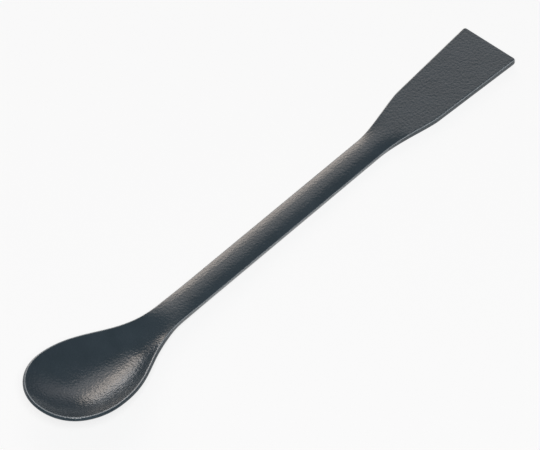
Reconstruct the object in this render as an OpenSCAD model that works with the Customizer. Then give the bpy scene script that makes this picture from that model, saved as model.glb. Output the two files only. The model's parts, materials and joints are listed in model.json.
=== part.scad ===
// Lab spatula with a spoon bowl at one end and a flat blade at the other.
// One blank of stainless sheet is cut to the outline, and a single press stroke sinks the bowl, arches the
// handle and leaves the blade flat. A dark non-stick coating covers it all and rounds its corners.
//
// The tool lies on a bench as it comes to rest, on the underside of its bowl and on the arched handle's
// edges beside the blade. +X runs from the bowl to the blade, +Y across and +Z up, and the origin is on the
// bench, under the middle of the tool's box. Sizes are in millimetres, coating included.

/* [Whole tool] */
// Length from the bowl's tip to the blade's end
overall_length = 150; // [125:1:210]
// Thickness of the coated sheet in the handle, the blade and the middle of the bowl
sheet_thickness = 1.4; // [1:0.05:2]
// Radius that rounds the upper and the lower corner of every edge
edge_radius = 0.3; // [0.1:0.05:0.4]

/* [Bowl] */
// Width across the rim at the bowl's widest point
bowl_width = 22.5; // [16:0.1:30]
// Distance from the tip to the widest point
bowl_widest = 12.3; // [9:0.1:16]
// Distance from the tip to the end of the neck, where the handle's straight edges begin
bowl_length = 42.8; // [34:0.1:52]
// Depth of the hollow below the rim at the widest point
bowl_depth = 4.1; // [2:0.1:6]
// Height by which the rim curves up from the neck to the tip
rim_rise = 4.1; // [1:0.1:6]
// Length at the tip over which the rim runs level
rim_level = 4; // [0:0.5:10]
// Length over which the rim curves up from the neck
rim_curve = 33.5; // [20:0.5:40]
// Length over which the hollow dies out into the neck
hollow_runout = 13.5; // [10:0.5:26]
// Length at the handle's end of the neck that the hollow doesn't reach
neck_flat = 1.2; // [0:0.1:5]
// Thickness of the sheet at the rim, where the press thins it
rim_thickness = 0.95; // [0.8:0.05:1.4]
// Fullness of the outline's curve at the tip
tip_fullness = 0.63; // [0.45:0.01:0.8]
// Fullness of the outline's curve beside the widest point
cheek_fullness = 0.54; // [0.4:0.01:0.7]

/* [Neck] */
// Share of the neck over which the outline still follows the bowl
neck_bowl_pull = 0.43; // [0.2:0.01:0.6]
// Share of the neck over which the outline already follows the handle
neck_handle_pull = 0.46; // [0.2:0.01:0.6]

/* [Handle] */
// Width of the handle beside the neck
handle_width_neck = 7.05; // [5:0.05:10]
// Width of the handle beside the blade's root
handle_width_root = 6.8; // [5:0.05:10]
// Height of the arch, from the handle's edges to its crown
arch_height = 0.5; // [0.2:0.05:1.5]
// Length over which the arch rises out of the neck
arch_runout_neck = 20; // [8:0.5:24]
// Length over which the arch runs out into the blade
arch_runout_root = 10; // [6:0.5:20]

/* [Blade] */
// Length of the blade and its flared root, from the handle's straight edges to the blade's end
blade_length = 41.2; // [32:0.1:60]
// Length of the flared root
root_length = 16.7; // [12:0.1:24]
// Width at the shoulders, where the root meets the blade's straight sides
shoulder_width = 12; // [9:0.1:16]
// Width that the blade's straight sides would have at its end
blade_end_width = 14.9; // [9:0.1:20]
// Radius of the blade's two corners
corner_radius = 0.6; // [0.5:0.1:3]
// Share of the root over which the outline still follows the handle
root_handle_pull = 0.38; // [0.2:0.01:0.6]
// Share of the root over which the outline already follows the blade's side
root_blade_pull = 0.2; // [0.1:0.01:0.6]

/* [Hidden] */

coating_color = [0.26, 0.28, 0.29];

// Fineness of the mesh: steps along each stretch of the outline
tip_steps = 26;
neck_steps = 34;
handle_steps = 10;
root_steps = 18;
side_steps = 5;
corner_steps = 5;
end_steps = 5;
// Steps across half of the sheet, and round each rounded corner of its edge
sheet_steps = 7;
round_steps = 3;
// Share of the half width that the steps across the sheet cover before the edge is rounded
sheet_share = 0.87;
// Step by which the sheet's slope is measured, as a share of the half width
slope_step = 0.01;

// The rim leans outwards at the tip, so the sheet's lower corner stands out past the rim's upper edge
tip_slope = atan(2 * bowl_depth / bowl_widest);
tip_overhang = (rim_thickness - edge_radius) * sin(tip_slope) + edge_radius * (1 - cos(tip_slope));

// Places along the tool, measured from the rim's upper edge at the tip
blade_end = overall_length - tip_overhang;
root_start = blade_end - blade_length;
shoulder = root_start + root_length;
arch_begins = bowl_length - arch_runout_neck / 2;
arch_full = bowl_length + arch_runout_neck / 2;
arch_ends = root_start + arch_runout_root;
hollow_ends = bowl_length - neck_flat;
hollow_fades = hollow_ends - hollow_runout;
blade_middle = blade_end - blade_end_width / 2;

function clamp(low, value, high) = max(low, min(value, high));

// Runs smoothly from 0 at a to 1 at b
function blend(a, b, x) = let (t = clamp(0, (x - a) / (b - a), 1)) t * t * (3 - 2 * t);

function bezier(p, t) =
    pow(1 - t, 3) * p[0] + 3 * pow(1 - t, 2) * t * p[1] + 3 * (1 - t) * t * t * p[2] + t * t * t * p[3];

// The points along a stretch of the outline. The first is left out, because the stretch before ends on it.
function curve(p, steps) = [for (i = [1:steps]) bezier(p, i / steps)];
function line(a, b, steps) = [for (i = [1:steps]) a + (b - a) * i / steps];

// Half of the outline in plan, from the tip to the middle of the blade's end, as [distance, half width]
function half_outline() =
    let (
        w_bowl = bowl_width / 2,
        w_neck = handle_width_neck / 2,
        w_root = handle_width_root / 2,
        w_shoulder = shoulder_width / 2,
        w_end = blade_end_width / 2,
        neck = bowl_length - bowl_widest,
        flare = (w_end - w_shoulder) / (blade_end - shoulder),
        side_angle = atan(flare),
        corner_x = blade_end - corner_radius,
        corner_y = w_shoulder + flare * (corner_x - shoulder) - corner_radius / cos(side_angle),
        corner = [for (i = [0:corner_steps]) let (a = (90 + side_angle) * (1 - i / corner_steps))
            [corner_x + corner_radius * cos(a), corner_y + corner_radius * sin(a)]],
        tip_curve = [[0, 0], [0, tip_fullness * w_bowl],
            [bowl_widest * (1 - cheek_fullness), w_bowl], [bowl_widest, w_bowl]],
        neck_curve = [[bowl_widest, w_bowl], [bowl_widest + neck_bowl_pull * neck, w_bowl],
            [bowl_length - neck_handle_pull * neck, w_neck], [bowl_length, w_neck]],
        root_curve = [[root_start, w_root], [root_start + root_handle_pull * root_length, w_root],
            [shoulder - root_blade_pull * root_length, w_shoulder - flare * root_blade_pull * root_length],
            [shoulder, w_shoulder]]
    )
    concat(
        [[0, 0]],
        curve(tip_curve, tip_steps),
        curve(neck_curve, neck_steps),
        line([bowl_length, w_neck], [root_start, w_root], handle_steps),
        curve(root_curve, root_steps),
        line([shoulder, w_shoulder], corner[0], side_steps),
        [for (i = [1:corner_steps]) corner[i]],
        line(corner[corner_steps], [blade_end, 0], end_steps)
    );

half = half_outline();
// The outline goes up one side of the tool and back down the other
outline = concat(half, [for (i = [len(half) - 2:-1:1]) [half[i][0], -half[i][1]]]);
count = len(outline);

// The hollow dies out along the neck, while the arch rises
function hollow_share(x) = 1 - blend(hollow_fades, hollow_ends, x);
function arch(x) = arch_height * blend(arch_begins, arch_full, x) * (1 - blend(root_start, arch_ends, x));

// Height of the sheet's middle line over the blade's plane, before the bowl is sunk. The rim curves up
// towards the tip, and the lift is what the handle climbs from the blade to the neck.
function crown(x, lift) =
    lift * (1 - clamp(0, (x - bowl_length) / (root_start - bowl_length), 1))
    + rim_rise * (1 - blend(rim_level, rim_level + rim_curve, x));

// A point of the sheet's upper face: s is 0 on the middle line and 1 on the outline. The lines from the
// middle out to the outline run square across the tool, and fan out round the tip and the blade's end.
function face(i, s, lift) =
    let (
        x_out = outline[i][0],
        y_out = outline[i][1],
        x_mid = clamp(bowl_widest, x_out, blade_middle),
        x = x_mid + s * (x_out - x_mid),
        fill = x_out < bowl_widest ? 1 : 2 * abs(y_out) / bowl_width,
        hollow = bowl_depth * fill * (1 - s * s) * hollow_share(x)
    )
    [x, s * y_out, crown(x, lift) - arch(x) * s * s - hollow];

function thickness(x, s) = sheet_thickness - (sheet_thickness - rim_thickness) * hollow_share(x) * s * s;

function unit(v) = v / norm(v);
function before(i) = (i + count - 1) % count;
function after(i) = (i + 1) % count;

// Direction along the outline, and the sheet's upward normal beside it
function along(i, s, lift) = unit(face(after(i), s, lift) - face(before(i), s, lift));
function outward(i, s, lift) = face(i, s + slope_step, lift) - face(i, s - slope_step, lift);
function normal(i, s, lift) = unit(cross(along(i, s, lift), outward(i, s, lift)));

// The middle line's normal leans only along the tool
function mid_normal(i, lift) =
    let (run = face(i + 1, 0, lift) - face(i - 1, 0, lift))
    unit([-run[2], 0, run[0]]);

// The rings of points that wrap the sheet: over its upper face from the middle line, round its edge and
// back under it
shares = [for (k = [1:sheet_steps]) sheet_share * k / sheet_steps];
turns = [for (k = [0:round_steps]) 90 * k / round_steps];

function edge_ring(turn, low, lift) =
    [for (i = [0:count - 1]) let (
            up = normal(i, 1, lift),
            out = unit(cross(up, along(i, 1, lift))),
            corner = face(i, 1, lift),
            drop = low ? thickness(outline[i][0], 1) - edge_radius : edge_radius
        )
        corner + out * edge_radius * (cos(turn) - 1) + up * (edge_radius * sin(turn) - drop)];

function face_ring(s, low, lift) =
    [for (i = [0:count - 1]) let (p = face(i, s, lift))
        low ? p - normal(i, s, lift) * thickness(p[0], s) : p];

function rings(lift) = concat(
    [for (s = shares) face_ring(s, false, lift)],
    [for (k = [round_steps:-1:0]) edge_ring(turns[k], false, lift)],
    [for (k = [0:round_steps]) edge_ring(-turns[k], true, lift)],
    [for (k = [len(shares) - 1:-1:0]) face_ring(shares[k], true, lift)]
);

// The middle line runs between the bowl's widest point and the middle of the blade's end
mid_stations = [for (i = [0:len(half) - 1]) if (half[i][0] >= bowl_widest && half[i][0] <= blade_middle) i];
mid_first = mid_stations[0];
mid_count = len(mid_stations);

function mid_line(low, lift) =
    [for (i = mid_stations) let (p = face(i, 0, lift))
        low ? p - mid_normal(i, lift) * thickness(p[0], 0) : p];

// With no lift the handle lies level. The lift that a bowl deeper than the arch needs brings the underside
// of the bowl and the handle's edges beside the blade down onto one bench.
function lowest(points, from, to) = min([for (p = points) if (p[0] > from && p[0] < to) p[2]]);

function flatten(lists) = [for (list = lists) for (item = list) item];

level_points = concat(flatten(rings(0)), mid_line(true, 0));
bowl_low = lowest(level_points, -sheet_thickness, bowl_length);
handle_low = lowest(level_points, arch_full, blade_end);
lift = max(0, handle_low - bowl_low);

// Each strip joins one ring to the next, and the first and last strips close onto the middle line
ring_count = 2 * len(shares) + 2 * len(turns);
upper_mid = ring_count * count;
lower_mid = upper_mid + mid_count;

function ring_index(ring, i) = ring * count + i % count;
function mid_index(start, i) =
    let (station = i % count < len(half) ? i % count : count - i % count)
    start + clamp(0, station - mid_first, mid_count - 1);

function strip(ring) = flatten([for (i = [0:count - 1])
    let (a = ring_index(ring, i), b = ring_index(ring, i + 1),
        c = ring_index(ring + 1, i + 1), d = ring_index(ring + 1, i))
    [[a, c, b], [a, d, c]]]);

function closing(ring, start, turned) = flatten([for (i = [0:count - 1])
    let (a = mid_index(start, i), b = mid_index(start, i + 1),
        c = ring_index(ring, i + 1), d = ring_index(ring, i),
        faces = a == b ? [[a, d, c]] : [[a, c, b], [a, d, c]])
    [for (f = faces) turned ? [f[2], f[1], f[0]] : f]]);

module spatula() {
    points = concat(flatten(rings(lift)), mid_line(false, lift), mid_line(true, lift));
    faces = concat(
        closing(0, upper_mid, false),
        flatten([for (ring = [0:ring_count - 2]) strip(ring)]),
        closing(ring_count - 1, lower_mid, true)
    );
    color(coating_color)
        translate([tip_overhang - overall_length / 2, 0, -handle_low])
            polyhedron(points = points, faces = faces, convexity = 6);
}

spatula();
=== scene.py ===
"""A coated lab spatula on a pale bench: one sheet of steel, cut to its outline, pressed and sprayed.

The frame gives the tool's place and size. +X runs from the bowl to the blade, and +Z is up out of the bowl.
Sizes are written in millimetres, and MM turns them to metres.
"""

import json
import math

import bpy
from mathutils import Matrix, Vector


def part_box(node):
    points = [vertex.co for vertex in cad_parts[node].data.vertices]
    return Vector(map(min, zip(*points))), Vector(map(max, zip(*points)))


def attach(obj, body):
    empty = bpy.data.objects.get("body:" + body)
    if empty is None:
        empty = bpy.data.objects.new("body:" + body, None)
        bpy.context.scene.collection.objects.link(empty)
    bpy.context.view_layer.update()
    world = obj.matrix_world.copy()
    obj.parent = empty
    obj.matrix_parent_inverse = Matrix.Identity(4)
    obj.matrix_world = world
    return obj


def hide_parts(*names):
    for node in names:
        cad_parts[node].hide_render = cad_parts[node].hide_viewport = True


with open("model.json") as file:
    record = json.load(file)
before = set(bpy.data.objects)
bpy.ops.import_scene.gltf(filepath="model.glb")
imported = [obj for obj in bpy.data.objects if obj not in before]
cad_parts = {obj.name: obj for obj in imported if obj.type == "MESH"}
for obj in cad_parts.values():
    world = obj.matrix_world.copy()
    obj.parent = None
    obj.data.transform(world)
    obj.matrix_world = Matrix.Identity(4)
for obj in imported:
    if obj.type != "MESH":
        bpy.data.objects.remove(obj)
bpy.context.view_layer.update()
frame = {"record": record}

# ------------------------------------------------------------------ the spatula
# The real tool is one blank of 1.3 mm stainless sheet, 1.4 mm once it is coated. A press sinks the bowl,
# arches the handle and leaves the blade flat, tumbling rounds the corners, and a dark non-stick coating is
# sprayed on and baked.

MM = 0.001
low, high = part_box("spatula")
overall_length = (high.x - low.x) / MM

sheet_thickness = 1.4
rim_thickness = 0.95
edge_radius = 0.3

bowl_width = 22.5
bowl_widest = 12.3
bowl_length = 42.8
bowl_depth = 4.1
rim_rise = 4.1
rim_level = 4
rim_curve = 33.5
hollow_runout = 13.5
neck_flat = 1.2
tip_fullness = 0.63
cheek_fullness = 0.54

neck_bowl_pull = 0.43
neck_handle_pull = 0.46
handle_width_neck = 7.05
handle_width_root = 6.8
arch_height = 0.5
arch_runout_neck = 20
arch_runout_root = 10

blade_length = 41.2
root_length = 16.7
shoulder_width = 12
blade_end_width = 14.9
corner_radius = 0.6
root_handle_pull = 0.38
root_blade_pull = 0.2

# Places along the tool, measured from the rim's upper edge at the tip
tip_slope = math.atan(2 * bowl_depth / bowl_widest)
tip_overhang = ((rim_thickness - edge_radius) * math.sin(tip_slope)
                + edge_radius * (1 - math.cos(tip_slope)))
blade_end = overall_length - tip_overhang
root_start = blade_end - blade_length
shoulder = root_start + root_length
blade_middle = blade_end - blade_end_width / 2
arch_begins = bowl_length - arch_runout_neck / 2
arch_full = bowl_length + arch_runout_neck / 2
arch_ends = root_start + arch_runout_root
hollow_ends = bowl_length - neck_flat
hollow_fades = hollow_ends - hollow_runout

# The blade's plane, and what the handle climbs from it to the neck, follow from how the tool lies
blade_underside = frame["record"]["mounts"][0]["pos_m"][2] / MM
blade_top = blade_underside + sheet_thickness
rim_dip = edge_radius * (math.sin(tip_slope) + math.cos(tip_slope) - 1)
lift = high.z / MM + rim_dip - blade_top - rim_rise


def third_of_way(a, b):
    """Where the handle of a knot at a stands on a straight stretch to b."""
    return (a[0] + (b[0] - a[0]) / 3, a[1] + (b[1] - a[1]) / 3)


def flipped(point):
    return (point[0], -point[1])


def half_outline():
    """One side of the blank, from the tip to the middle of the blade's end. Each knot is given with the
    handle behind it and the handle ahead of it."""
    w_bowl = bowl_width / 2
    w_neck = handle_width_neck / 2
    w_root = handle_width_root / 2
    w_shoulder = shoulder_width / 2
    neck = bowl_length - bowl_widest
    flare = (blade_end_width / 2 - w_shoulder) / (blade_end - shoulder)
    side_angle = math.atan(flare)
    centre_x = blade_end - corner_radius
    centre_y = w_shoulder + flare * (centre_x - shoulder) - corner_radius / math.cos(side_angle)
    corner_turn = math.pi / 2 + side_angle
    pull = corner_radius * 4 / 3 * math.tan(corner_turn / 4)  # makes the curve round the corner circular

    tip = (0, 0)
    cheek = (bowl_widest, w_bowl)
    neck_end = (bowl_length, w_neck)
    root = (root_start, w_root)
    side = (shoulder, w_shoulder)
    turn_in = (centre_x - corner_radius * math.sin(side_angle),
               centre_y + corner_radius * math.cos(side_angle))
    turn_out = (blade_end, centre_y)
    end = (blade_end, 0)
    blade_pull = root_blade_pull * root_length
    return [
        (tip, (0, -tip_fullness * w_bowl), (0, tip_fullness * w_bowl)),
        (cheek, (bowl_widest * (1 - cheek_fullness), w_bowl), (bowl_widest + neck_bowl_pull * neck, w_bowl)),
        (neck_end, (bowl_length - neck_handle_pull * neck, w_neck), third_of_way(neck_end, root)),
        (root, third_of_way(root, neck_end), (root_start + root_handle_pull * root_length, w_root)),
        (side, (shoulder - blade_pull, w_shoulder - flare * blade_pull), third_of_way(side, turn_in)),
        (turn_in, third_of_way(turn_in, side),
         (turn_in[0] + pull * math.cos(side_angle), turn_in[1] + pull * math.sin(side_angle))),
        (turn_out, (blade_end, centre_y + pull), third_of_way(turn_out, end)),
        (end, third_of_way(end, turn_out), third_of_way(end, flipped(turn_out))),
    ]


def in_frame(point):
    """A point of the outline, in metres, on the blade's plane."""
    return Vector((point[0] + tip_overhang, point[1], blade_top)) * MM + Vector((low.x, 0, 0))


# The outline goes up one side of the tool and back down the other
one_side = half_outline()
other_side = [(flipped(at), flipped(ahead), flipped(back)) for at, back, ahead in one_side[-2:0:-1]]
steps_between_knots = 64
blank = bpy.data.curves.new("blank_outline", "CURVE")
blank.dimensions = "3D"
rim_line = blank.splines.new("BEZIER")
rim_line.bezier_points.add(len(one_side + other_side) - 1)
rim_line.use_cyclic_u = True
rim_line.resolution_u = steps_between_knots
for knot, (at, back, ahead) in zip(rim_line.bezier_points, one_side + other_side):
    knot.handle_left_type = knot.handle_right_type = "FREE"
    knot.co = in_frame(at)
    knot.handle_left = in_frame(back)
    knot.handle_right = in_frame(ahead)
blank_object = bpy.data.objects.new("blank_outline", blank)
bpy.context.scene.collection.objects.link(blank_object)


def add(tree, kind, inputs=None, **settings):
    """Adds a node with its settings, and gives each named or numbered input a value or a link."""
    made = tree.nodes.new(kind)
    for name, value in settings.items():
        setattr(made, name, value)
    for key, value in (inputs or {}).items():
        if isinstance(value, bpy.types.NodeSocket):
            tree.links.new(value, made.inputs[key])
        else:
            made.inputs[key].default_value = value
    return made


def new_tree(name, inputs, outputs):
    """A geometry tree with named inputs and outputs, given as {name: socket type}. The sockets that the
    inputs come in by and the outputs leave by are given with it."""
    tree = bpy.data.node_groups.new(name, "GeometryNodeTree")
    for label, kind in inputs.items():
        tree.interface.new_socket(label, in_out="INPUT", socket_type=kind)
    for label, kind in outputs.items():
        tree.interface.new_socket(label, in_out="OUTPUT", socket_type=kind)
    return tree, tree.nodes.new("NodeGroupInput").outputs, tree.nodes.new("NodeGroupOutput").inputs


# What the press is set to, in millimetres, by the names of the inputs of its trees
press_sizes = {
    "Bowl half width": bowl_width / 2,
    "Bowl widest": bowl_widest,
    "Bowl depth": bowl_depth,
    "Hollow fades": hollow_fades,
    "Hollow ends": hollow_ends,
    "Rim rise": rim_rise,
    "Rim level": rim_level,
    "Rim ends": rim_level + rim_curve,
    "Neck end": bowl_length,
    "Root start": root_start,
    "Lift": lift,
    "Arch height": arch_height,
    "Arch begins": arch_begins,
    "Arch full": arch_full,
    "Arch ends": arch_ends,
    "Blade middle": blade_middle,
    "Sheet thickness": sheet_thickness,
    "Rim thickness": rim_thickness,
    "Tip": low.x / MM + tip_overhang,
}


def upper_face_tree():
    """A point of the pressed sheet's upper face, and the sheet's thickness there. Around runs along the
    outline from the tip, and Across from 0 on the middle line to 1 on the outline. The lines from the middle
    out to the outline run square across the tool, and fan out round the tip and the blade's end."""
    inputs = {"Outline": "NodeSocketGeometry", "Around": "NodeSocketFloat", "Across": "NodeSocketFloat"}
    inputs.update({name: "NodeSocketFloat" for name in press_sizes})
    tree, given, result = new_tree(
        "upper_face", inputs, {"Position": "NodeSocketVector", "Thickness": "NodeSocketFloat"})
    across = given["Across"]
    rim = add(tree, "GeometryNodeSampleCurve",
              {"Curves": given["Outline"], "Factor": given["Around"]}, mode="FACTOR", use_all_curves=True)
    rim = add(tree, "ShaderNodeSeparateXYZ", {0: rim.outputs["Position"]}).outputs
    x_rim = add(tree, "ShaderNodeMath", {0: rim["X"], 1: given["Tip"]}, operation="SUBTRACT").outputs[0]
    x_middle = add(tree, "ShaderNodeClamp",
                   {"Value": x_rim, "Min": given["Bowl widest"], "Max": given["Blade middle"]}).outputs[0]
    x = add(tree, "ShaderNodeMix", {"Factor": across, "A": x_middle, "B": x_rim},
            data_type="FLOAT", clamp_factor=False).outputs[0]
    y = add(tree, "ShaderNodeMath", {0: rim["Y"], 1: across}, operation="MULTIPLY").outputs[0]
    across_squared = add(tree, "ShaderNodeMath", {0: across, 1: across}, operation="MULTIPLY").outputs[0]

    # The hollow's depth goes with the bowl's width, and all round the fan at the tip it is full
    fill = add(tree, "ShaderNodeMath", {0: rim["Y"], 1: given["Bowl half width"]},
               operation="DIVIDE").outputs[0]
    fill = add(tree, "ShaderNodeMath", {0: fill}, operation="ABSOLUTE").outputs[0]
    in_tip = add(tree, "ShaderNodeMath", {0: x_rim, 1: given["Bowl widest"]},
                 operation="LESS_THAN").outputs[0]
    fill = add(tree, "ShaderNodeMath", {0: fill, 1: in_tip}, operation="MAXIMUM").outputs[0]
    hollow_share = add(tree, "ShaderNodeMapRange",
                       {"Value": x, "From Min": given["Hollow fades"], "From Max": given["Hollow ends"],
                        "To Min": 1.0, "To Max": 0.0}, interpolation_type="SMOOTHSTEP").outputs[0]
    depth = add(tree, "ShaderNodeMath", {0: given["Bowl depth"], 1: hollow_share},
                operation="MULTIPLY").outputs[0]
    depth = add(tree, "ShaderNodeMath", {0: depth, 1: fill}, operation="MULTIPLY").outputs[0]
    rise = add(tree, "ShaderNodeMath", {0: 1.0, 1: across_squared}, operation="SUBTRACT").outputs[0]
    hollow = add(tree, "ShaderNodeMath", {0: depth, 1: rise}, operation="MULTIPLY").outputs[0]

    # The arch rises out of the neck and runs out into the blade
    arch = add(tree, "ShaderNodeMapRange",
               {"Value": x, "From Min": given["Arch begins"], "From Max": given["Arch full"],
                "To Min": 0.0, "To Max": given["Arch height"]}, interpolation_type="SMOOTHSTEP").outputs[0]
    runout = add(tree, "ShaderNodeMapRange",
                 {"Value": x, "From Min": given["Root start"], "From Max": given["Arch ends"],
                  "To Min": 1.0, "To Max": 0.0}, interpolation_type="SMOOTHSTEP").outputs[0]
    arch = add(tree, "ShaderNodeMath", {0: arch, 1: runout}, operation="MULTIPLY").outputs[0]
    arch = add(tree, "ShaderNodeMath", {0: arch, 1: across_squared}, operation="MULTIPLY").outputs[0]

    # The handle climbs from the blade to the neck, and the rim curls up on to the tip
    climb = add(tree, "ShaderNodeMapRange",
                {"Value": x, "From Min": given["Neck end"], "From Max": given["Root start"],
                 "To Min": given["Lift"], "To Max": 0.0}).outputs[0]
    curl = add(tree, "ShaderNodeMapRange",
               {"Value": x, "From Min": given["Rim level"], "From Max": given["Rim ends"],
                "To Min": given["Rim rise"], "To Max": 0.0}, interpolation_type="SMOOTHSTEP").outputs[0]
    z = add(tree, "ShaderNodeMath", {0: climb, 1: curl}, operation="ADD").outputs[0]
    z = add(tree, "ShaderNodeMath", {0: z, 1: arch}, operation="SUBTRACT").outputs[0]
    z = add(tree, "ShaderNodeMath", {0: z, 1: hollow}, operation="SUBTRACT").outputs[0]
    z = add(tree, "ShaderNodeMath", {0: z, 1: rim["Z"]}, operation="ADD").outputs[0]
    x_in_frame = add(tree, "ShaderNodeMath", {0: x, 1: given["Tip"]}, operation="ADD").outputs[0]
    point = add(tree, "ShaderNodeCombineXYZ", {"X": x_in_frame, "Y": y, "Z": z})
    tree.links.new(point.outputs[0], result["Position"])

    # The press draws the sheet thinner towards the rim
    thinned = add(tree, "ShaderNodeMath", {0: hollow_share, 1: across_squared},
                  operation="MULTIPLY").outputs[0]
    thickness = add(tree, "ShaderNodeMix",
                    {"Factor": thinned, "A": given["Sheet thickness"], "B": given["Rim thickness"]},
                    data_type="FLOAT").outputs[0]
    tree.links.new(thickness, result["Thickness"])
    return tree


def press_tree(coating):
    """Presses the blank inside its outline into the finished sheet, with its thickness and its rounded
    edges, and gives it the coating."""
    inputs = {"Outline": "NodeSocketGeometry", "Edge radius": "NodeSocketFloat", "Columns": "NodeSocketInt",
              "Face rows": "NodeSocketInt", "Corner rows": "NodeSocketInt"}
    inputs.update({name: "NodeSocketFloat" for name in press_sizes})
    tree, given, result = new_tree("press_sheet", inputs, {"Sheet": "NodeSocketGeometry"})
    face = upper_face_tree()

    def face_point(around, across):
        links = {name: given[name] for name in press_sizes}
        links.update({"Outline": given["Outline"], "Around": around, "Across": across})
        return add(tree, "GeometryNodeGroup", links, node_tree=face).outputs

    # Rows run from the upper middle line to the edge, round its two corners and back to the lower middle
    # line. Both faces and both corners have a row at each end, so three strips join these four bands.
    bands_a_side = 2.0
    joining_strips = 3.0
    last_row = add(tree, "ShaderNodeMath", {0: given["Face rows"], 1: given["Corner rows"]},
                   operation="ADD").outputs[0]
    last_row = add(tree, "ShaderNodeMath", {0: last_row, 1: bands_a_side, 2: joining_strips},
                   operation="MULTIPLY_ADD").outputs[0]
    row_count = add(tree, "ShaderNodeMath", {0: last_row, 1: 1.0}, operation="ADD").outputs[0]
    column_count = add(tree, "ShaderNodeMath", {0: given["Columns"], 1: 1.0}, operation="ADD").outputs[0]
    grid = add(tree, "GeometryNodeMeshGrid",
               {"Size X": 1.0, "Size Y": 1.0, "Vertices X": column_count,
                "Vertices Y": row_count}).outputs["Mesh"]
    grid_corner = (0.5, 0.5, 0.0)  # the grid's own middle is its origin
    place = add(tree, "GeometryNodeInputPosition").outputs[0]
    place = add(tree, "ShaderNodeVectorMath", {0: place, 1: grid_corner}, operation="ADD").outputs[0]
    place = add(tree, "ShaderNodeSeparateXYZ", {0: place}).outputs
    around = place["X"]
    row = add(tree, "ShaderNodeMath", {0: place["Y"], 1: last_row}, operation="MULTIPLY").outputs[0]
    row = add(tree, "ShaderNodeMath", {0: row}, operation="ROUND").outputs[0]
    row_back = add(tree, "ShaderNodeMath", {0: last_row, 1: row}, operation="SUBTRACT").outputs[0]
    lower = add(tree, "ShaderNodeMath", {0: row, 1: row_back}, operation="GREATER_THAN").outputs[0]
    step = add(tree, "ShaderNodeMath", {0: row, 1: row_back}, operation="MINIMUM").outputs[0]
    in_edge = add(tree, "ShaderNodeMath", {0: step, 1: given["Face rows"]},
                  operation="GREATER_THAN").outputs[0]

    # The faces' outermost row keeps clear of the rounded edge, by a length that stays the same all round
    clear_of_edge = 1.6  # edge radii
    rim = face_point(around, 1.0)["Position"]
    middle = face_point(around, 0.0)["Position"]
    half_width = add(tree, "ShaderNodeVectorMath", {0: rim, 1: middle},
                     operation="DISTANCE").outputs["Value"]
    inset = add(tree, "ShaderNodeMath", {0: given["Edge radius"], 1: clear_of_edge},
                operation="MULTIPLY").outputs[0]
    inset = add(tree, "ShaderNodeMath", {0: inset, 1: half_width}, operation="DIVIDE").outputs[0]
    outermost = add(tree, "ShaderNodeMath", {0: 1.0, 1: inset}, operation="SUBTRACT").outputs[0]
    across = add(tree, "ShaderNodeMath", {0: step, 1: given["Face rows"]}, operation="DIVIDE").outputs[0]
    across = add(tree, "ShaderNodeMath", {0: across, 1: outermost}, operation="MULTIPLY").outputs[0]
    across = add(tree, "ShaderNodeMix", {"Factor": in_edge, "A": across, "B": 1.0},
                 data_type="FLOAT").outputs[0]
    here = face_point(around, across)

    # The sheet's upward normal, from the slopes of its upper face a small step along and a small step
    # across. On the middle line the slope across is taken a little way out from it.
    step_along = 0.0006  # of the way round the outline
    step_across = 0.003  # of the half width
    least_across = 0.004  # of the half width
    off_middle = add(tree, "ShaderNodeMath", {0: across, 1: least_across}, operation="MAXIMUM").outputs[0]
    further = add(tree, "ShaderNodeMath", {0: around, 1: step_along}, operation="ADD").outputs[0]
    further = add(tree, "ShaderNodeMath", {0: further}, operation="FRACT").outputs[0]
    nearer = add(tree, "ShaderNodeMath", {0: around, 1: 1 - step_along}, operation="ADD").outputs[0]
    nearer = add(tree, "ShaderNodeMath", {0: nearer}, operation="FRACT").outputs[0]
    outer = add(tree, "ShaderNodeMath", {0: off_middle, 1: step_across}, operation="ADD").outputs[0]
    inner = add(tree, "ShaderNodeMath", {0: off_middle, 1: step_across}, operation="SUBTRACT").outputs[0]
    along = add(tree, "ShaderNodeVectorMath",
                {0: face_point(further, off_middle)["Position"],
                 1: face_point(nearer, off_middle)["Position"]}, operation="SUBTRACT").outputs[0]
    along = add(tree, "ShaderNodeVectorMath", {0: along}, operation="NORMALIZE").outputs[0]
    outward = add(tree, "ShaderNodeVectorMath",
                  {0: face_point(around, outer)["Position"], 1: face_point(around, inner)["Position"]},
                  operation="SUBTRACT").outputs[0]
    up = add(tree, "ShaderNodeVectorMath", {0: along, 1: outward}, operation="CROSS_PRODUCT").outputs[0]
    up = add(tree, "ShaderNodeVectorMath", {0: up}, operation="NORMALIZE").outputs[0]
    out = add(tree, "ShaderNodeVectorMath", {0: up, 1: along}, operation="CROSS_PRODUCT").outputs[0]

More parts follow.
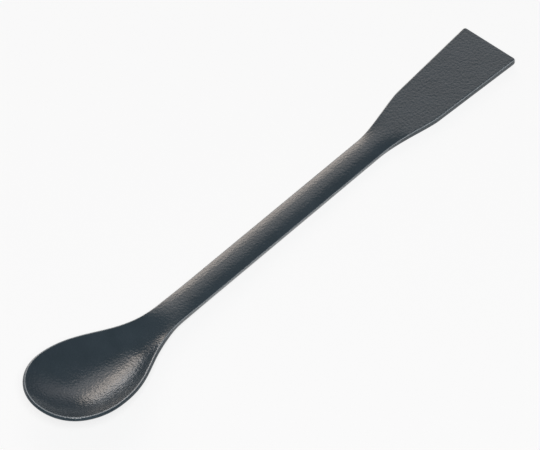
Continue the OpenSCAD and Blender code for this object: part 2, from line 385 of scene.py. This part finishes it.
    # Round the edge the turn runs from straight up to straight out, and then on from out to down
    radius = add(tree, "ShaderNodeMath", {0: given["Edge radius"], 1: in_edge},
                 operation="MULTIPLY").outputs[0]
    first = add(tree, "ShaderNodeMath", {0: given["Face rows"], 1: 1.0}, operation="ADD").outputs[0]
    final = add(tree, "ShaderNodeMath", {0: first, 1: given["Corner rows"]}, operation="ADD").outputs[0]
    turn = add(tree, "ShaderNodeMapRange",
               {"Value": step, "From Min": first, "From Max": final,
                "To Min": math.pi / 2, "To Max": 0.0}).outputs[0]
    fall = add(tree, "ShaderNodeMath", {0: turn}, operation="SINE").outputs[0]
    fall = add(tree, "ShaderNodeMath", {0: fall, 1: 1.0}, operation="SUBTRACT").outputs[0]
    fall = add(tree, "ShaderNodeMath", {0: fall, 1: radius}, operation="MULTIPLY").outputs[0]
    under = add(tree, "ShaderNodeMath", {0: here["Thickness"], 1: fall}, operation="ADD").outputs[0]
    under = add(tree, "ShaderNodeMath", {0: under, 1: -1.0}, operation="MULTIPLY").outputs[0]
    height = add(tree, "ShaderNodeMix", {"Factor": lower, "A": fall, "B": under},
                 data_type="FLOAT").outputs[0]
    draw_in = add(tree, "ShaderNodeMath", {0: turn}, operation="COSINE").outputs[0]
    draw_in = add(tree, "ShaderNodeMath", {0: draw_in, 1: 1.0}, operation="SUBTRACT").outputs[0]
    draw_in = add(tree, "ShaderNodeMath", {0: draw_in, 1: radius}, operation="MULTIPLY").outputs[0]
    point = add(tree, "ShaderNodeVectorMath", {0: up, 1: height, 2: here["Position"]},
                operation="MULTIPLY_ADD").outputs[0]
    point = add(tree, "ShaderNodeVectorMath", {0: out, 1: draw_in, 2: point},
                operation="MULTIPLY_ADD").outputs[0]

    # For the coating's painted highlight line, each point keeps how near it is to the middle of the edge's
    # upper corner
    upper = add(tree, "ShaderNodeMath", {0: 1.0, 1: lower}, operation="SUBTRACT").outputs[0]
    corner = add(tree, "ShaderNodeMath", {0: turn, 1: 2.0}, operation="MULTIPLY").outputs[0]
    corner = add(tree, "ShaderNodeMath", {0: corner}, operation="SINE").outputs[0]
    corner = add(tree, "ShaderNodeMath", {0: corner, 1: in_edge}, operation="MULTIPLY").outputs[0]
    corner = add(tree, "ShaderNodeMath", {0: corner, 1: upper}, operation="MULTIPLY").outputs[0]
    sheet = add(tree, "GeometryNodeStoreNamedAttribute",
                {"Geometry": grid, "Name": "upper_corner", "Value": corner},
                data_type="FLOAT", domain="POINT").outputs[0]

    # The grid's first and last columns meet at the tip, and its first and last rows fold shut along the
    # middle lines. Points as near as this weld into one.
    weld_distance = 0.012 * MM
    sheet = add(tree, "GeometryNodeSetPosition", {"Geometry": sheet, "Position": point}).outputs[0]
    sheet = add(tree, "GeometryNodeMergeByDistance",
                {"Geometry": sheet, "Distance": weld_distance}).outputs[0]
    sheet = add(tree, "GeometryNodeSetShadeSmooth", {"Geometry": sheet}).outputs[0]
    sheet = add(tree, "GeometryNodeRealizeInstances", {"Geometry": sheet}).outputs[0]
    sheet = add(tree, "GeometryNodeSetMaterial", {"Geometry": sheet, "Material": coating}).outputs[0]
    tree.links.new(sheet, result["Sheet"])
    return tree


def linear(hex_colour):
    """An sRGB hex colour as linear RGBA."""
    channels = [int(hex_colour[i:i + 2], 16) / 255 for i in (0, 2, 4)]
    return tuple(c / 12.92 if c <= 0.04045 else ((c + 0.055) / 1.055) ** 2.4 for c in channels) + (1.0,)


def baked_coating():
    """A fluoropolymer coating, sprayed on and baked. It gives the eye a dark slate grey with a soft, wide
    highlight, broken up by the orange peel of the spray, whose bumps are about half a millimetre across."""
    dark_grey = "2E383E"
    pale_grey = "39434A"
    # The pale grey below is a painted highlight colour for the edges' upper corner, not the coating's own
    # colour
    painted_highlight_grey = "A0A5A8"
    pigmented_fluoropolymer_ior = 1.4
    material = bpy.data.materials.new("sprayed_nonstick_coating")
    material.use_nodes = True
    tree = material.node_tree
    surface = tree.nodes["Principled BSDF"]
    surface.inputs["IOR"].default_value = pigmented_fluoropolymer_ior
    place = add(tree, "ShaderNodeTexCoord").outputs["Object"]

    # The spray lies a little thicker in some places, which shifts its grey and its gloss over a few
    # millimetres. A Mix node of colours takes them at its sockets 6 and 7, and gives the mixed one at 2.
    patch_size = 4 * MM
    glossy_roughness = 0.14
    satin_roughness = 0.2
    patches = add(tree, "ShaderNodeTexNoise",
                  {"Vector": place, "Scale": 1 / patch_size, "Detail": 2.0}).outputs[0]
    grey = add(tree, "ShaderNodeMix", {"Factor": patches, 6: linear(dark_grey), 7: linear(pale_grey)},
               data_type="RGBA").outputs[2]
    roughness = add(tree, "ShaderNodeMapRange",
                    {"Value": patches, "To Min": glossy_roughness, "To Max": satin_roughness}).outputs[0]

    # Along the middle of the edge's upper corner a thin paler line is painted into the coating's colour: a
    # painted highlight standing in for the glint the rounded corner catches
    line_sharpness = 2.0
    strongest_painted_highlight = 0.7
    corner = add(tree, "ShaderNodeAttribute", attribute_name="upper_corner").outputs["Fac"]
    painted_highlight = add(tree, "ShaderNodeMath", {0: corner, 1: line_sharpness}, operation="POWER").outputs[0]
    painted_highlight = add(tree, "ShaderNodeMath", {0: painted_highlight, 1: strongest_painted_highlight}, operation="MULTIPLY").outputs[0]
    grey = add(tree, "ShaderNodeMix", {"Factor": painted_highlight, 6: grey, 7: linear(painted_highlight_grey)},
               data_type="RGBA").outputs[2]
    tree.links.new(grey, surface.inputs["Base Color"])
    tree.links.new(roughness, surface.inputs["Roughness"])

    # Drawing the bowl stretches the steel, which roughens it there, and the coating keeps some of that
    peel_size = 0.55 * MM
    bowl_peel_depth = 0.074 * MM
    handle_peel_depth = 0.042 * MM
    peel_runout = 14
    bowl_fades = (bowl_length - peel_runout) * MM + low.x
    bowl_ends = bowl_length * MM + low.x
    along = add(tree, "ShaderNodeSeparateXYZ", {0: place}).outputs["X"]
    depth = add(tree, "ShaderNodeMapRange",
                {"Value": along, "From Min": bowl_fades, "From Max": bowl_ends,
                 "To Min": bowl_peel_depth, "To Max": handle_peel_depth},
                interpolation_type="SMOOTHSTEP").outputs[0]
    peel = add(tree, "ShaderNodeTexNoise",
               {"Vector": place, "Scale": 1 / peel_size, "Detail": 1.0, "Roughness": 0.5}).outputs[0]
    bump = add(tree, "ShaderNodeBump", {"Height": peel, "Strength": 1.0, "Distance": depth}).outputs[0]
    tree.links.new(bump, surface.inputs["Normal"])
    return material


coating = baked_coating()
press = blank_object.modifiers.new("press", "NODES")
press.node_group = press_tree(coating)
identifiers = {item.name: item.identifier for item in press.node_group.interface.items_tree}
for name, size in press_sizes.items():
    press[identifiers[name]] = size * MM
press[identifiers["Edge radius"]] = edge_radius * MM
mesh_fineness = {"Columns": 720, "Face rows": 24, "Corner rows": 6}
for name, count in mesh_fineness.items():
    press[identifiers[name]] = count

depsgraph = bpy.context.evaluated_depsgraph_get()
sheet = bpy.data.meshes.new_from_object(blank_object.evaluated_get(depsgraph), depsgraph=depsgraph)
sheet.name = "pressed_spatula"
bpy.data.objects.remove(blank_object)
spatula = bpy.data.objects.new("pressed_spatula", sheet)
bpy.context.scene.collection.objects.link(spatula)
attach(spatula, "root")
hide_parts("spatula")

# -------------------------------------------------------------------- the bench
# A sheet of matt white card, larger than anything the camera sees. Where it is looked at, or mirrored in the
# tool, part of its light is a glow, so that it stays white and still keeps the tool's shadow.

bench_reach = 6.0  # metres
bench_corners = [(-bench_reach, -bench_reach, 0), (bench_reach, -bench_reach, 0),
                 (bench_reach, bench_reach, 0), (-bench_reach, bench_reach, 0)]
bench_mesh = bpy.data.meshes.new("bench")
bench_mesh.from_pydata(bench_corners, [], [(0, 1, 2, 3)])
bench = bpy.data.objects.new("bench", bench_mesh)
bpy.context.scene.collection.objects.link(bench)


def looked_at(tree):
    """1 for the camera's rays and for those that it sees mirrored or through glass, and 0 for the others."""
    ray = add(tree, "ShaderNodeLightPath").outputs
    seen = add(tree, "ShaderNodeMath", {0: ray["Is Camera Ray"], 1: ray["Is Glossy Ray"]},
               operation="MAXIMUM").outputs[0]
    return add(tree, "ShaderNodeMath", {0: seen, 1: ray["Is Transmission Ray"]},
               operation="MAXIMUM").outputs[0]


def white_card():
    """Matt white card, which gives the eye an even white with a soft shadow."""
    material = bpy.data.materials.new("matt_white_card")
    material.use_nodes = True
    tree = material.node_tree
    matt = tree.nodes["Principled BSDF"]
    matt.inputs["Base Color"].default_value = linear("F0F0F0")
    matt.inputs["Roughness"].default_value = 0.9
    most_glow = 0.8
    glow = add(tree, "ShaderNodeEmission", {"Color": linear("FFFFFF"), "Strength": 1.0}).outputs[0]
    glow_share = add(tree, "ShaderNodeMath", {0: looked_at(tree), 1: most_glow},
                     operation="MULTIPLY").outputs[0]
    card = add(tree, "ShaderNodeMixShader", {0: glow_share, 1: matt.outputs[0], 2: glow}).outputs[0]
    tree.links.new(card, tree.nodes["Material Output"].inputs["Surface"])
    return material


bench_mesh.materials.append(white_card())

# ------------------------------------------------------------------- the camera
# A long lens far off, which draws the tool almost without perspective.

camera_distance = 4.0  # metres
camera_azimuth = math.radians(-49.14)
camera_elevation = math.radians(47.5)
image_width = 540  # pixels
pixels_per_mm = 4.577
frame_width = image_width / pixels_per_mm * MM
aim = Vector((2.0, 1.11, blade_top)) * MM
towards_camera = Vector((math.sin(camera_azimuth) * math.cos(camera_elevation),
                         -math.cos(camera_azimuth) * math.cos(camera_elevation),
                         math.sin(camera_elevation)))
lens = bpy.data.cameras.new("camera")
lens.sensor_width = 36
lens.lens = lens.sensor_width * camera_distance / frame_width
lens.clip_end = 5 * camera_distance
camera = bpy.data.objects.new("camera", lens)
camera.location = aim + towards_camera * camera_distance
camera.rotation_mode = "QUATERNION"
camera.rotation_quaternion = (-towards_camera).to_track_quat("-Z", "Y")
bpy.context.scene.collection.objects.link(camera)
bpy.context.scene.camera = camera

# ------------------------------------------------------------------- the lights
# A warm lamp behind the tool draws the highlights along the bowl and the handle's far side, and a cooler one
# under it edges them towards the near rim. Two wide, weaker lamps fade them out and light the blade. One in
# front gives most of the light, and the sky is dim, so that the hollow's far side stays dark.

lamp_distance = 1.5  # metres


def area_lamp(name, azimuth, elevation, width, height, radiance, colour, faded):
    """A lamp that faces the tool from that direction, in degrees from +Y towards +X and up from the bench.
    The width and the height are the angles, in degrees, that the tool sees it under. A faded lamp is
    brightest in its middle and dark at its border."""
    a = math.radians(azimuth)
    e = math.radians(elevation)
    towards_lamp = Vector((math.sin(a) * math.cos(e), math.cos(a) * math.cos(e), math.sin(e)))
    lamp = bpy.data.lights.new(name, "AREA")
    lamp.shape = "ELLIPSE"
    lamp.size = 2 * lamp_distance * math.tan(math.radians(width / 2))
    lamp.size_y = 2 * lamp_distance * math.tan(math.radians(height / 2))
    area = math.pi / 4 * lamp.size * lamp.size_y
    lamp.energy = radiance * math.pi * area
    lamp.color = linear(colour)[:3]
    if faded:
        lamp.use_nodes = True
        tree = lamp.node_tree
        # The lamp's own coordinates run from 0 to 1 each way
        centre = (0.5, 0.5, 0.0)
        border = 0.5
        spot = add(tree, "ShaderNodeNewGeometry").outputs["Parametric"]
        off_centre = add(tree, "ShaderNodeVectorMath", {0: spot, 1: centre},
                         operation="DISTANCE").outputs["Value"]
        strength = add(tree, "ShaderNodeMapRange",
                       {"Value": off_centre, "From Min": 0.0, "From Max": border,
                        "To Min": 1.0, "To Max": 0.0}, interpolation_type="SMOOTHSTEP").outputs[0]
        tree.links.new(strength, tree.nodes["Emission"].inputs["Strength"])
    placed = bpy.data.objects.new(name, lamp)
    placed.location = towards_lamp * lamp_distance
    placed.rotation_mode = "QUATERNION"
    placed.rotation_quaternion = (-towards_lamp).to_track_quat("-Z", "Y")
    placed.visible_camera = False
    bpy.context.scene.collection.objects.link(placed)


area_lamp("back_lamp", azimuth=36, elevation=24.5, width=36, height=35, radiance=7.2, colour="FFF1E5",
          faded=True)
area_lamp("low_lamp", azimuth=32, elevation=12.5, width=27, height=22, radiance=3.2, colour="F6F9FF",
          faded=True)
area_lamp("high_lamp", azimuth=51, elevation=40, width=42, height=36, radiance=1.9, colour="FFF8F4",
          faded=True)
area_lamp("top_lamp", azimuth=69, elevation=31, width=68, height=42, radiance=1.1, colour="FFF6F8",
          faded=True)
area_lamp("front_lamp", azimuth=229, elevation=52, width=24, height=24, radiance=19.3, colour="FFFFFF",
          faded=False)

# The world gives a dim sky. Where it is looked at, the white of the bench goes on below the horizon, and
# fades out just above it.
horizon_fade = 0.05  # as the sine of the angle above the horizon
studio = bpy.data.worlds.new("studio")
bpy.context.scene.world = studio
studio.use_nodes = True
world = studio.node_tree
sky = world.nodes["Background"]
sky.inputs["Color"].default_value = linear("D0E4FF")
sky.inputs["Strength"].default_value = 0.06
ground = add(world, "ShaderNodeBackground", {"Color": linear("F6F6F6"), "Strength": 1.0}).outputs[0]
direction = add(world, "ShaderNodeTexCoord").outputs["Generated"]
height = add(world, "ShaderNodeSeparateXYZ", {0: direction}).outputs["Z"]
below = add(world, "ShaderNodeMapRange",
            {"Value": height, "From Min": 0.0, "From Max": horizon_fade,
             "To Min": 1.0, "To Max": 0.0}).outputs[0]
ground_share = add(world, "ShaderNodeMath", {0: looked_at(world), 1: below}, operation="MULTIPLY").outputs[0]
seen_world = add(world, "ShaderNodeMixShader", {0: ground_share, 1: sky.outputs[0], 2: ground}).outputs[0]
world.links.new(seen_world, world.nodes["World Output"].inputs["Surface"])

bpy.context.scene.view_settings.view_transform = "Standard"
